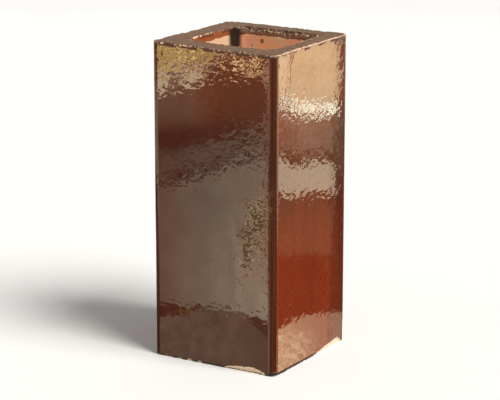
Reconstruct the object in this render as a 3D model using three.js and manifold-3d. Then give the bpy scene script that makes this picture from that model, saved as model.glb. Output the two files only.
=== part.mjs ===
// A square flue pipe of salt-glazed clay: one fired piece, open at both ends, with rounded
// corners, cut ends whose arrises are worn, and flakes broken off the rim and the foot.
// Millimetres, +Z up. The origin is the middle of the underside. The front is -Y.

import * as THREE from 'three';
import * as BufferGeometryUtils from 'three/addons/utils/BufferGeometryUtils.js';
import Module from 'manifold-3d';

// Outside of the pipe
const WIDTH = 205;
const DEPTH = 206;
const HEIGHT = 466;
const CORNER_RADIUS = 9;

// Thickness of the four walls. The bore sits a little off centre, as the die's core did.
const WALL_LEFT = 34;
const WALL_RIGHT = 26;
const WALL_FRONT = 36;
const WALL_BACK = 32;
const BORE_RADIUS = 20;

// Wear round the arrises of both cut ends, and the steps of each rounding
const ARRIS = 1.8;
const ARRIS_STEPS = 2;
const CORNER_STEPS = 10;

// Small nicks: how many on one side of one arris, and their sizes
const NICKS_OUTSIDE = 6;
const NICKS_BORE = 5;
const NICK_LENGTH = { least: 5, most: 16 };
const NICK_DEPTH = { least: 2.2, most: 3.4 };
const NICK_EDGE = 14; // kept free of nicks at the ends of a side

const RIGHT = WIDTH / 2;
const BACK = DEPTH / 2;
const BORE = {
  left: -RIGHT + WALL_LEFT,
  right: RIGHT - WALL_RIGHT,
  front: -BACK + WALL_FRONT,
  back: BACK - WALL_BACK,
};

// The turn about Z that takes a flake from the front face to each of the four faces
const TURN = { front: 0, right: Math.PI / 2, back: Math.PI, left: -Math.PI / 2 };

const glazedClay = new THREE.MeshStandardMaterial({
  name: 'glazed_clay',
  color: 0x7a3a22,
  roughness: 0.22,
  metalness: 0,
});

const wasm = await Module();
wasm.setup();

function toSolid(geometry) {
  geometry.deleteAttribute('normal');
  geometry.deleteAttribute('uv');
  const merged = BufferGeometryUtils.mergeVertices(geometry);
  return new wasm.Manifold(new wasm.Mesh({
    numProp: 3,
    vertProperties: new Float32Array(merged.attributes.position.array),
    triVerts: new Uint32Array(merged.index.array),
  }));
}

function toGeometry(solid) {
  const mesh = solid.getMesh();
  const geometry = new THREE.BufferGeometry();
  geometry.setAttribute('position', new THREE.BufferAttribute(mesh.vertProperties, mesh.numProp));
  geometry.setIndex(new THREE.BufferAttribute(mesh.triVerts, 1));
  geometry.computeVertexNormals();
  return geometry;
}

// Traces a rectangle with rounded corners, counter-clockwise, into a Shape or a Path.
function roundedRectangle(path, left, front, right, back, radius) {
  path.moveTo(left + radius, front);
  path.lineTo(right - radius, front);
  path.absarc(right - radius, front + radius, radius, -Math.PI / 2, 0);
  path.lineTo(right, back - radius);
  path.absarc(right - radius, back - radius, radius, 0, Math.PI / 2);
  path.lineTo(left + radius, back);
  path.absarc(left + radius, back - radius, radius, Math.PI / 2, Math.PI);
  path.lineTo(left, front + radius);
  path.absarc(left + radius, front + radius, radius, Math.PI, Math.PI * 1.5);
  return path;
}

// The pipe as it left the cutting wire, with every arris of its ends rounded by ARRIS.
function pipeBody() {
  const section = roundedRectangle(new THREE.Shape(), -RIGHT, -BACK, RIGHT, BACK, CORNER_RADIUS);
  const bore = new THREE.Path();
  roundedRectangle(bore, BORE.left, BORE.front, BORE.right, BORE.back, BORE_RADIUS);
  section.holes.push(bore);
  const geometry = new THREE.ExtrudeGeometry(section, {
    depth: HEIGHT - 2 * ARRIS,
    curveSegments: CORNER_STEPS,
    bevelEnabled: true,
    bevelThickness: ARRIS,
    bevelSize: ARRIS,
    bevelOffset: -ARRIS,
    bevelSegments: ARRIS_STEPS,
  });
  geometry.translate(0, 0, ARRIS);
  return toSolid(geometry);
}

// One flake: a rough lens, `length` along the arris (X), reaching `depth` into the wall (Y) and
// `height` up and down the face (Z). `lean` carries its crest along the arris, and `phase`
// changes the waves on its surface.
function flake({ length, depth, height, lean = 0, phase = 0, detail = 2 }) {
  const roughness = 0.07;
  const geometry = new THREE.IcosahedronGeometry(1, detail);
  const position = geometry.attributes.position;
  const point = new THREE.Vector3();
  for (let i = 0; i < position.count; i += 1) {
    point.fromBufferAttribute(position, i);
    const wave = Math.sin(4.1 * point.x + phase) * Math.cos(3.7 * point.z - phase)
      + Math.sin(5.3 * point.y + 2 * phase);
    point.multiplyScalar(1 + roughness * wave);
    point.multiply(new THREE.Vector3(length / 2, depth, height));
    point.x += lean * (point.z / height);
    position.setXYZ(i, point.x, point.y, point.z);
  }
  return geometry;
}

function placed(geometry, turn, x, y, z) {
  return toSolid(geometry.rotateZ(turn).translate(x, y, z));
}

// The flakes that show from a step away. `along` is measured on the outside from the left or
// front end of the face, and `level` is the height of the flake's middle.
const FACE_FLAKES = [
  // Foot of the front face: a long low scar with its crest near the right-hand corner
  { face: 'front', along: 153, level: 0, length: 78, depth: 4.5, height: 9, lean: 17 },
  // Foot of the right face: a scar that climbs to the back corner
  { face: 'right', along: 164, level: 0, length: 78, depth: 5, height: 11, lean: 19 },
  // Foot of the front face: two small chips in the left half, and one at the left corner
  { face: 'front', along: 61, level: 0, length: 11, depth: 3, height: 3.2 },
  { face: 'front', along: 79, level: 0, length: 9, depth: 3, height: 2.8 },
  { face: 'front', along: 22, level: 0, length: 22, depth: 3.2, height: 3.6, lean: 4 },
  // Rim of the right face: a narrow scab near the front, and a chip at the back corner
  { face: 'right', along: 47, level: HEIGHT - 8, length: 9, depth: 1.6, height: 12, lean: 1.5 },
  { face: 'right', along: 190, level: HEIGHT - 2, length: 22, depth: 3.4, height: 9, lean: -3 },
  // Plainer wear on the two faces turned away
  { face: 'back', along: 62, level: 0, length: 46, depth: 4, height: 7, lean: 8 },
  { face: 'left', along: 140, level: 0, length: 34, depth: 3.6, height: 6, lean: -6 },
  { face: 'back', along: 150, level: HEIGHT, length: 30, depth: 3.5, height: 5, lean: -4 },
];

// Where a point `along` a face lies, from the face's left or front end
function onFace(face, along) {
  const places = {
    front: [along - RIGHT, -BACK],
    right: [RIGHT, along - BACK],
    back: [along - RIGHT, BACK],
    left: [-RIGHT, along - BACK],
  };
  return places[face];
}

function faceFlakes() {
  return FACE_FLAKES.map((entry, index) => {
    const [x, y] = onFace(entry.face, entry.along);
    const turnedRound = entry.face === 'back' || entry.face === 'left';
    const lean = (entry.lean ?? 0) * (turnedRound ? -1 : 1);
    const lens = flake({ ...entry, lean, phase: index });
    return placed(lens, TURN[entry.face], x, y, entry.level);
  });
}

// The broken inner arris of the back wall: a run of overlapping flakes along the bore's edge
function brokenBoreArris() {
  const count = 6;
  const reach = BORE.right - BORE.left - 1.1 * BORE_RADIUS;
  const first = (BORE.left + BORE.right) / 2 - reach / 2;
  return Array.from({ length: count }, (_, i) => {
    const size = 1 + 0.18 * Math.sin(2.3 * i + 1);
    const lens = flake({
      length: 1.5 * (reach / count) * size,
      depth: 5.2 * size,
      height: 6.4 * size,
      phase: 1.7 * i,
    });
    const x = first + reach * ((i + 0.5) / count);
    return placed(lens, TURN.front, x, BORE.back - 0.3, HEIGHT);
  });
}

// The corner where the right and back faces meet is worn back for a hand's breadth at the foot.
function wornCorner() {
  const lens = flake({ length: 26, depth: 6, height: 78 });
  return placed(lens, (TURN.right + TURN.back) / 2, RIGHT, BACK, 0);
}

// The foot of the front right corner has lost its point.
function blunted() {
  const lens = flake({ length: 20, depth: 5.4, height: 4, phase: 2 });
  return placed(lens, (TURN.front + TURN.right) / 2, RIGHT, -BACK, 0);
}

// A repeatable number from 0 to 1 for each whole number
function scatter(n) {
  return Math.abs(Math.sin(n * 12.9898 + 4.1) * 43758.5453) % 1;
}

// Nicks along one straight arris from `start` to `end`, cut into the wall on the side of `turn`
function nicks(start, end, level, turn, count, seed) {
  const span = new THREE.Vector2().subVectors(end, start);
  const margin = NICK_EDGE / span.length();
  return Array.from({ length: count }, (_, i) => {
    const n = seed + 3 * i;
    const share = margin + (1 - 2 * margin) * ((i + 0.15 + 0.7 * scatter(n)) / count);
    const place = start.clone().addScaledVector(span, share);
    const lens = flake({
      length: THREE.MathUtils.lerp(NICK_LENGTH.least, NICK_LENGTH.most, scatter(n + 1) ** 2),
      depth: THREE.MathUtils.lerp(NICK_DEPTH.least, NICK_DEPTH.most, scatter(n + 2)),
      height: THREE.MathUtils.lerp(NICK_DEPTH.least, NICK_DEPTH.most, scatter(n + 1)),
      phase: n,
      detail: 1,
    });
    return placed(lens, turn, place.x, place.y, level);
  });
}

// Nicks round a whole rectangle at one level. `outside` says which way the wall lies.
function nicksAround({ left, front, right, back }, level, outside, count, seed) {
  const corners = [[left, front], [right, front], [right, back], [left, back]]
    .map(([x, y]) => new THREE.Vector2(x, y));
  const turns = [TURN.front, TURN.right, TURN.back, TURN.left];
  return corners.flatMap((corner, side) => {
    const next = corners[(side + 1) % corners.length];
    const turn = turns[side] + (outside ? 0 : Math.PI);
    return nicks(corner, next, level, turn, count, seed + 100 * side);
  });
}

const OUTSIDE = { left: -RIGHT, front: -BACK, right: RIGHT, back: BACK };
const losses = [
  ...faceFlakes(),
  ...brokenBoreArris(),
  wornCorner(),
  blunted(),
  ...nicksAround(OUTSIDE, HEIGHT, true, NICKS_OUTSIDE, 11),
  ...nicksAround(OUTSIDE, 0, true, NICKS_OUTSIDE, 531),
  ...nicksAround(BORE, HEIGHT, false, NICKS_BORE, 977),
];
const pipe = losses.reduce((solid, loss) => solid.subtract(loss), pipeBody());

const fluePipe = new THREE.Mesh(toGeometry(pipe), glazedClay);
fluePipe.name = 'flue_pipe';

const model = new THREE.Group();
model.name = 'square_flue_pipe';
model.add(fluePipe);

export default model;
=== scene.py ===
"""A square flue pipe of salt-glazed clay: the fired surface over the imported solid, with its glaze,
its bare cut ends and its chips, in a plain pale studio. Metres, +Z up, the front is -Y."""

import math

import bpy
import numpy as np
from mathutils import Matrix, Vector


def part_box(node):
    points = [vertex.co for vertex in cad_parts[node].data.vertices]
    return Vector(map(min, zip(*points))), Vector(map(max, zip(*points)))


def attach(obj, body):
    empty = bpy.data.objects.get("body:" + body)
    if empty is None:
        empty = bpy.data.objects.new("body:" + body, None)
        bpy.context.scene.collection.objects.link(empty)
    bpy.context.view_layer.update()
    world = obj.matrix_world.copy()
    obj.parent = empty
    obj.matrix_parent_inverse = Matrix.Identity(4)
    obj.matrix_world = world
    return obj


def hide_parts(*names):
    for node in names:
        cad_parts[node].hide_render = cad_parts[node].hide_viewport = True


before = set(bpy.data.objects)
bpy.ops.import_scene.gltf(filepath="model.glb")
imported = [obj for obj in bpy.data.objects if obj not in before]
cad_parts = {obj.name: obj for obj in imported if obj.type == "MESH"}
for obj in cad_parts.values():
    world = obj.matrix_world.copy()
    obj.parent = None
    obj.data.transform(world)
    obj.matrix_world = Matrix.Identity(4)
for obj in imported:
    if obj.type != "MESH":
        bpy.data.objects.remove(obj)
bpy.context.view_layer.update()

MM = 0.001

# The pipe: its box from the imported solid, and the walls and roundings that the die gave it
LOW, HIGH = (np.array(corner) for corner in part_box("flue_pipe"))
MIDDLE = (LOW + HIGH) / 2
HEIGHT = HIGH[2]
CORNER = 9 * MM
BORE_CORNER = 20 * MM
BORE_LEFT, BORE_RIGHT = LOW[0] + 34 * MM, HIGH[0] - 26 * MM
BORE_FRONT, BORE_BACK = LOW[1] + 36 * MM, HIGH[1] - 32 * MM
ARRIS = 1.8 * MM
RIM_RISE = 2.2 * MM  # the cut isn't quite square: the front left corner of the rim stands higher

# Fineness of the surface: columns round the pipe, rows along its section
SIDE_COLUMNS, CORNER_COLUMNS = 92, 9
OUTSIDE_ROWS, BORE_ROWS, RIM_ROWS, FOOT_ROWS, ARRIS_ROWS = 150, 44, 22, 8, 4
END_CROWDING = 0.62
MID_WALL = 17 * MM  # how far past the glaze's edge the middle of a cut end counts as being


def lattice(cell, seed):
    """A repeatable number from -1 to 1 for each whole-number point: its coordinates, each times
    a large prime, are joined by exclusive or and their bits are mixed twice."""
    i, j, k = (cell[..., axis].astype(np.int64) for axis in range(3))
    n = (i * 73856093) ^ (j * 19349663) ^ (k * 83492791) ^ (seed * 40503 + 977)
    n = ((n ^ (n >> 13)) * 1274126177) & 0xFFFFFFFF
    n = ((n ^ (n >> 15)) * 668265263) & 0xFFFFFFFF
    return ((n >> 8) & 0xFFFF) / 32767.5 - 1.0


def noise(points, size, seed=0):
    """Smooth noise from -1 to 1 with lumps of about `size`, a different one for each `seed`:
    lattice values at the eight corners of each cell, blended by the quintic
    6t^5 - 15t^4 + 10t^3 along each axis."""
    scaled = points / size
    cell = np.floor(scaled)
    t = scaled - cell
    t = t * t * t * (t * (6 * t - 15) + 10)
    total = 0.0
    for corner in np.ndindex(2, 2, 2):
        weight = np.prod(np.where(corner, t, 1 - t), axis=-1)
        total = total + weight * lattice(cell + corner, seed)
    return total


def layered(points, size, seed=0, layers=3):
    """Noise with each further layer half the size and half the strength of the last."""
    return sum(noise(points, size / 2**n, seed + n) / 2**n for n in range(layers))


def smooth_step(value, start, end):
    """0 before start, 1 after end, and 3t^2 - 2t^3 between."""
    t = np.clip((value - start) / (end - start), 0, 1)
    return t * t * (3 - 2 * t)


def hill(value, middle, spread):
    """A bell that is 1 at `middle`: exp(-((value - middle) / spread)^2)."""
    return np.exp(-(((value - middle) / spread) ** 2))


def rounded_rectangle(left, front, right, back, radius):
    """Points round a rounded rectangle, counter-clockwise from the front side's left end: each
    straight side evenly divided, then a quarter circle evenly divided. Gives points and
    outward normals."""
    corners = [(right, front, -90), (right, back, 0), (left, back, 90), (left, front, 180)]
    starts = [(left, front), (right, front), (right, back), (left, back)]
    points, normals = [], []
    for (sx, sy), (cx, cy, first) in zip(starts, corners):
        along = np.array([cx - sx, cy - sy])
        along = along / np.linalg.norm(along)
        outward = np.array([along[1], -along[0]])
        a = np.array([sx, sy]) + along * radius
        b = np.array([cx, cy]) - along * radius
        share = (np.arange(SIDE_COLUMNS) / SIDE_COLUMNS)[:, None]
        points.append(a + (b - a) * share)
        normals.append(np.repeat(outward[None], SIDE_COLUMNS, 0))
        centre = b - outward * radius
        angle = np.radians(first + 90 * np.arange(CORNER_COLUMNS) / CORNER_COLUMNS)
        arc = np.stack([np.cos(angle), np.sin(angle)], -1)
        points.append(centre + arc * radius)
        normals.append(arc)
    return np.concatenate(points), np.concatenate(normals)


def crowded(count):
    """`count` + 1 shares from 0 to 1, closer together at both ends: t - c sin(2 pi t) / (2 pi)."""
    t = np.linspace(0, 1, count + 1)
    return t - END_CROWDING * np.sin(2 * np.pi * t) / (2 * np.pi)


def section_rows():
    """The wall's section as a closed loop of stations, from the foot's outer arris up the
    outside, across the rim, down the bore and back across the foot. Each station is (share of
    the way from the outside to the bore, metres past it, height, metres past the glaze's edge,
    1 in the bore). The four arrises are quarter circles of radius ARRIS."""
    quarter = np.radians(np.linspace(0, 90, ARRIS_ROWS + 1))[1:-1]
    aside, below = ARRIS * (1 - np.cos(quarter)), ARRIS * (1 - np.sin(quarter))
    back = slice(None, None, -1)
    rows = []

    def run(share, inset, height, cut, bore):
        columns = np.broadcast_arrays(share, inset, height, cut, bore)
        rows.append(np.stack([np.asarray(c, float) for c in columns], -1))

    def run_across(first, last, height, count):
        across = np.linspace(first, last, count + 1)
        middle = MID_WALL * (1 - abs(2 * across - 1))
        run(across, ARRIS * (1 - 2 * across), height, middle, across)

    outside = ARRIS + (HEIGHT - 2 * ARRIS) * crowded(OUTSIDE_ROWS)
    inside = ARRIS + (HEIGHT - 2 * ARRIS) * crowded(BORE_ROWS)[back]
    run(0.0, 0.0, outside, -np.minimum(outside, HEIGHT - outside), 0.0)
    run(0.0, aside, HEIGHT - below, -below, 0.0)
    run_across(0, 1, HEIGHT, RIM_ROWS)
    run(1.0, -aside[back], HEIGHT - below[back], -below[back], 1.0)
    run(1.0, 0.0, inside, -np.minimum(inside, HEIGHT - inside), 1.0)
    run(1.0, -aside, below, -below, 1.0)
    run_across(1, 0, 0.0, FOOT_ROWS)
    run(0.0, aside[back], below[back], -below[back], 0.0)
    return np.concatenate(rows)


# Flakes broken off the arrises, the solid's and a few smaller ones, in millimetres: face, crest
# along it from its left or front end, level, reach before and after the crest, depth into the
# wall, height up the face, how pointed it is (0 a lens, 1 a wedge), how far it leans along the
# arris at its top, and how fresh the break is, from 0 (weathered) to 1
TOP = HEIGHT / MM
FLAKES = [
    ("front", 169.5, 0, 56, 21, 4.5, 9.2, 0.55, 0, 1.0),
    ("right", 182.5, 0, 72, 15.5, 5, 10.8, 0.8, 0, 1.0),
    ("front", 61, 0, 5.5, 5.5, 3, 3.2, 0, 0, 0.9),
    ("front", 79, 0, 4.5, 4.5, 3, 2.8, 0, 0, 0.9),
    ("front", 26, 0, 15, 7, 3.2, 3.6, 0, 0, 0.2),
    ("front", 9, 0, 5, 6, 2.4, 2.4, 0, 0, 0.1),
    ("front", 45, 0, 6, 4, 2.2, 2.0, 0, 0, 0.7),
    ("right", 47, TOP - 8, 3.2, 2.8, 0.7, 13, 0, 6, 0.3),
    ("right", 184, TOP - 7, 18, 16, 2.6, 4.2, 0, 0, 0.1),
    ("back", 54, 0, 15, 31, 4, 7, 0.5, 0, 0.8),
    ("left", 146, 0, 23, 11, 3.6, 6, 0.5, 0, 0.8),
    ("back", 154, TOP, 19, 11, 3.5, 5, 0.3, 0, 0.4),
]
# For each face, the direction along it and the direction into the wall
FACES = {"front": (1, 0, 0, 1), "right": (0, 1, -1, 0), "back": (1, 0, 0, -1), "left": (0, 1, 1, 0)}
# Flakes along the bore's back arris, and nicks on each side of the three chipped arrises
BORE_FLAKES = 6
NICKS_OUTSIDE, NICKS_FOOT, NICKS_BORE = 24, 16, 14
NICK_SEED = 7


def flake_list():
    """Every flake as (centre, axes, half sizes, ratio of the reach after its crest to the reach
    before, pointedness, lean, freshness): those named above, the bore's broken back arris, the
    two worn corners, and small nicks scattered by a seeded generator. The axes run along the
    arris, into the wall and up."""
    found = []

    def add(place, along, inward, sizes, fresh, after=1.0, pointed=0.0, lean=0.0):
        axes = np.array([(*along, 0), (*inward, 0), (0, 0, 1)], float)
        half = np.array(sizes) * MM
        found.append((np.array(place), axes, half, after, pointed, lean * MM, fresh))

    for face, crest, level, before, after, depth, height, pointed, lean, fresh in FLAKES:
        ax, ay, ix, iy = FACES[face]
        x = LOW[0] + crest * MM if ax else (LOW[0] if ix > 0 else HIGH[0])
        y = LOW[1] + crest * MM if ay else (LOW[1] if iy > 0 else HIGH[1])
        sizes = (before, depth, height)
        add([x, y, level * MM], (ax, ay), (ix, iy), sizes, fresh, after / before, pointed, lean)

    reach = BORE_RIGHT - BORE_LEFT - 1.1 * BORE_CORNER
    for i in range(BORE_FLAKES):
        size = 1 + 0.18 * math.sin(2.3 * i + 1)
        x = (BORE_LEFT + BORE_RIGHT) / 2 + reach * ((i + 0.5) / BORE_FLAKES - 0.5)
        sizes = (0.75 * reach / MM / BORE_FLAKES * size, 5.2 * size, 6.4 * size)
        add([x, BORE_BACK - 0.3 * MM, HEIGHT], (1, 0), (0, 1), sizes, 0.05)

    slant = math.sqrt(0.5)
    add([HIGH[0], HIGH[1], 0], (-slant, slant), (-slant, -slant), (13, 6, 78), 0.3)
    add([HIGH[0], LOW[1], 0], (slant, slant), (-slant, slant), (10, 5.4, 4), 0.2)

    chance = np.random.default_rng(NICK_SEED)
    outside = (LOW[0], LOW[1], HIGH[0], HIGH[1])
    inside = (BORE_LEFT, BORE_FRONT, BORE_RIGHT, BORE_BACK)
    loops = [
        (*outside, HEIGHT, 1, NICKS_OUTSIDE),
        (*outside, 0.0, 1, NICKS_FOOT),
        (*inside, HEIGHT, -1, NICKS_BORE),
    ]
    for x0, y0, x1, y1, level, way, number in loops:
        sides = [
            ((x0, y0), (x1, y0), (0, way)),
            ((x1, y0), (x1, y1), (-way, 0)),
            ((x0, y1), (x1, y1), (0, -way)),
            ((x0, y0), (x0, y1), (way, 0)),
        ]
        for start, end, inward in sides:
            start, end = np.array(start), np.array(end)
            for share in chance.uniform(0.05, 0.95, number):
                sizes = (1.5 + 3.5 * chance.random() ** 3, *chance.uniform(0.9, 2.0, 2))
                place = [*(start + (end - start) * share), level]
                add(place, np.sign(end - start), inward, sizes, 0.75 * chance.random())
    return found


def break_flakes(points):
    """Pushes the surface back to the far side of each flake, an ellipsoid centred on an arris. A
    point inside it slides into the wall, and a little away from the cut end, until the sum of
    its squared distances along the three axes, each over the flake's size there, is 1: the
    larger root of a quadratic. A pointed flake counts its distance s along the arris as
    s^2 + 2 p (s - s^2). Gives the moved points, how far inside a flake each one was (1 at its
    middle, 0 at its edge), and how fresh that is."""
    moved = points.copy()
    inside = np.full(points.shape[:-1], -1.0)
    freshness = np.zeros(points.shape[:-1])
    for place, axes, sizes, after, pointed, lean, fresh in flake_list():
        reach = 1.3 * max(*sizes, sizes[0] * after) + abs(lean)
        near = np.linalg.norm(points - place, axis=-1) < reach
        if not near.any():
            continue
        local = (moved[near] - place) @ axes.T
        local[:, 0] -= lean * local[:, 2] / sizes[2]
        ripple = 1 + 0.10 * noise(moved[near], 4 * MM, 31) + 0.06 * noise(moved[near], 1.6 * MM, 32)
        along = abs(local[:, 0]) / (sizes[0] * np.where(local[:, 0] > 0, after, 1.0) * ripple)
        along = along**2 + 2 * pointed * np.maximum(along - along**2, 0)
        scaled = local[:, 1:] / (sizes[1:] * ripple[:, None])
        radius = along + np.einsum("ij,ij->i", scaled, scaled)
        way = np.array([1.0, 0.35 if place[2] < HEIGHT / 2 else -0.35])
        step = way / (sizes[1:] * ripple[:, None])
        a = np.einsum("ij,ij->i", step, step)
        b = np.einsum("ij,ij->i", scaled, step)
        root = (-b + np.sqrt(np.maximum(b * b - a * (radius - 1), 0))) / a
        travel = np.where(radius < 1, np.maximum(root, 0), 0)
        moved[near] += travel[:, None] * (way @ axes[1:])
        depth = 1 - radius
        freshness[near] = np.where(depth > inside[near], fresh, freshness[near])
        inside[near] = np.maximum(inside[near], depth)
    return moved, inside, freshness


def body_waves(points, bore):
    """How far a wall stands out from its plane: long shallow waves from the die and the kiln, a
    third of a millimetre high, and shorter faint ones, twice as strong in the bore."""
    broad = noise(points * np.array([1, 1, 0.6]), 85 * MM, 3) * 0.34
    middle = noise(points * np.array([1, 1, 1.3]), 31 * MM, 5) * 0.06
    return (broad + middle * (1 + bore)) * MM


def by_face(facing, front, right, others):
    """A value for the front face, one for the right face and one for all others, each weighed by
    how squarely a point faces that way."""
    share_front = np.maximum(-facing[..., 1], 0)
    share_right = np.maximum(facing[..., 0], 0)
    share_others = 1 - np.clip(share_front + share_right, 0, 1)
    return front * share_front + right * share_right + others * share_others


def ripple_strength(points, facing):
    """How strongly the glaze is rippled at each point: broad drifts of noise; on the front
    rough along the top, in a slanting band and beside the right-hand corner; on the right
    rough in its upper half but for one smooth band, and smoother towards the back."""
    x, y, z = (points[..., axis] for axis in range(3))
    drift = 1.0 + 0.45 * layered(points, 60 * MM, 11, 2)
    top = smooth_step(z + 0.20 * (LOW[0] - x), HEIGHT - 118 * MM, HEIGHT - 60 * MM)
    band = hill(z - 0.45 * (x - LOW[0]), 0.55 * HEIGHT, 28 * MM)
    strip = smooth_step(x, HIGH[0] - 52 * MM, HIGH[0] - 22 * MM) * hill(z, 0.47 * HEIGHT, 90 * MM)
    upper = hill(x, 54 * MM, 42 * MM) * hill(z, 0.75 * HEIGHT, 46 * MM)
    base = hill(z, 0.19 * HEIGHT, 30 * MM)
    front = 0.25 + 1.6 * top + 1.7 * band + 1.6 * strip + 2.9 * upper + 0.5 * base
    front = front * (1 - 0.4 * smooth_step(x, HIGH[0] - 21 * MM, HIGH[0] - 10 * MM))
    right = 0.75 + 1.15 * smooth_step(z, 0.42 * HEIGHT, 0.54 * HEIGHT)
    right = right * (1 - 0.45 * smooth_step(y, 35 * MM, 75 * MM))
    right = right * (1 - 0.55 * hill(z + 0.25 * y, 0.58 * HEIGHT, 15 * MM))
    return drift * by_face(facing, front, right, 0.6)


def warmth_and_light(points, facing):
    """How red and bright the glaze is, from 0 to 1, partly as the kiln burnt it and partly painted
    light: warm and bright on the sunlit right face, dark on the shaded front. Most on the right
    face, less across its middle and towards the back; dark on the front except near the top;
    mixed elsewhere."""
    x, y, z = (points[..., axis] for axis in range(3))
    middle = hill(z, 0.62 * HEIGHT, 70 * MM)
    far = smooth_step(y, 40 * MM, 85 * MM)
    near = hill(y, LOW[1] + 35 * MM, 12 * MM) * smooth_step(-z, -0.50 * HEIGHT, -0.36 * HEIGHT)
    right = 0.92 - 0.60 * middle - 0.50 * far + 0.30 * near
    top = smooth_step(z, 0.66 * HEIGHT, 0.95 * HEIGHT) * (0.6 + 0.4 * hill(x, 0.0, 60 * MM))
    low = 0.19 * hill(z, 0.38 * HEIGHT, 80 * MM) * smooth_step(abs(x), 20 * MM, 80 * MM)
    front = 0.10 + 0.68 * top + low - 0.10 * hill(x, 0, 50 * MM) * hill(z, 0.52 * HEIGHT, 60 * MM)
    others = 0.45 + 0.3 * noise(points, 140 * MM, 21)
    return np.clip(by_face(facing, front, right, others), 0, 1)


def grid_mesh(name, points, attributes):
    """A closed ring of rings: quads between neighbouring rows and columns, both of which join
    up end to end, with one number per point for each attribute."""
    rows, columns = points.shape[:2]
    index = np.arange(rows * columns).reshape(rows, columns)
    right, up = np.roll(index, -1, 1), np.roll(index, -1, 0)
    both = np.roll(up, -1, 1)
    quads = np.stack([index, right, both, up], -1).reshape(-1, 4)
    mesh = bpy.data.meshes.new(name)
    mesh.from_pydata(points.reshape(-1, 3), [], quads.tolist())
    mesh.polygons.foreach_set("use_smooth", np.ones(len(quads), bool))
    for title, values in attributes.items():
        layer = mesh.attributes.new(title, "FLOAT", "POINT")
        spread = np.broadcast_to(values, (rows, columns))
        layer.data.foreach_set("value", np.ascontiguousarray(spread, np.float32).ravel())
    mesh.update()
    return mesh


def pipe_surface():
    """The pipe's whole skin: the wall's section carried round the rounded square, then waved,
    roughened at the cut ends, raised at the rim's front left corner, worn along the arrises, and
    broken by the flakes. Each attribute is one number per point of it."""
    outside, facing = rounded_rectangle(LOW[0], LOW[1], HIGH[0], HIGH[1], CORNER)
    bore, _ = rounded_rectangle(BORE_LEFT, BORE_FRONT, BORE_RIGHT, BORE_BACK, BORE_CORNER)
    rows = section_rows()
    share, inset, height, cut, in_bore = (rows[:, i, None] for i in range(5))
    across = bore - outside
    fraction = share + inset / np.linalg.norm(across, axis=-1)[None]
    plan = outside[None] + across[None] * fraction[..., None]
    shape = plan.shape[:2]
    points = np.concatenate([plan, np.broadcast_to(height[..., None], shape + (1,))], -1)
    start = points.copy()
    cut, in_bore = np.broadcast_to(cut, shape), np.broadcast_to(in_bore, shape)

    # Waves in the walls
    outward = np.concatenate([facing, np.zeros((len(facing), 1))], -1)[None]
    sign = 1 - 2 * in_bore
    on_wall = smooth_step(-cut, -2 * MM, 3 * MM)
    points += outward * (body_waves(start, in_bore) * sign * on_wall)[..., None]

    # The rough grain of the cut ends, fainter at the foot
    on_cut = smooth_step(cut, -1.5 * MM, 1.5 * MM)
    end = np.where(start[..., 2] > HEIGHT / 2, 1.0, -1.0)
    grain = 0.50 * layered(start, 7 * MM, 41, 3) + 0.45 * noise(start, 48 * MM, 44) - 0.30
    points[..., 2] += end * np.minimum(grain, 0.25) * np.where(end > 0, 1.0, 0.35) * on_cut * MM

    # The rise of the rim
    from_corner = np.linalg.norm(start[..., :2] - LOW[:2], axis=-1)
    near_corner = 1 - smooth_step(from_corner, 0, 150 * MM)
    points[..., 2] += RIM_RISE * (start[..., 2] / HEIGHT) ** 8 * near_corner

    # Wear along the arrises, then the flakes
    wear = np.maximum(layered(start, 6 * MM, 47, 3) + 0.15, 0) * 1.1 * MM * hill(cut, 0, 1.6 * MM)
    points -= outward * (wear * sign)[..., None]
    points[..., 2] -= end * wear * 0.8
    points, inside, freshness = break_flakes(points)
    points[..., 2] = np.maximum(points[..., 2], 0)

    attributes = {
        "cut": cut + 0.35 * wear,
        "flaw": inside,
        "fresh": freshness,
        "bore": in_bore,
        "corner": smooth_step(1 - np.max(abs(facing), axis=-1), 0.004, 0.05)[None],
        "sunny": np.maximum(facing[:, 0], 0)[None],
        "ripple": ripple_strength(start, facing[None]),
        # Glaze warmth, partly painted light: warm on the sunlit right face, dark on the shaded front
        "warmth_and_light": warmth_and_light(start, facing[None]),
    }
    return grid_mesh("flue_pipe_skin", points, attributes)


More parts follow.
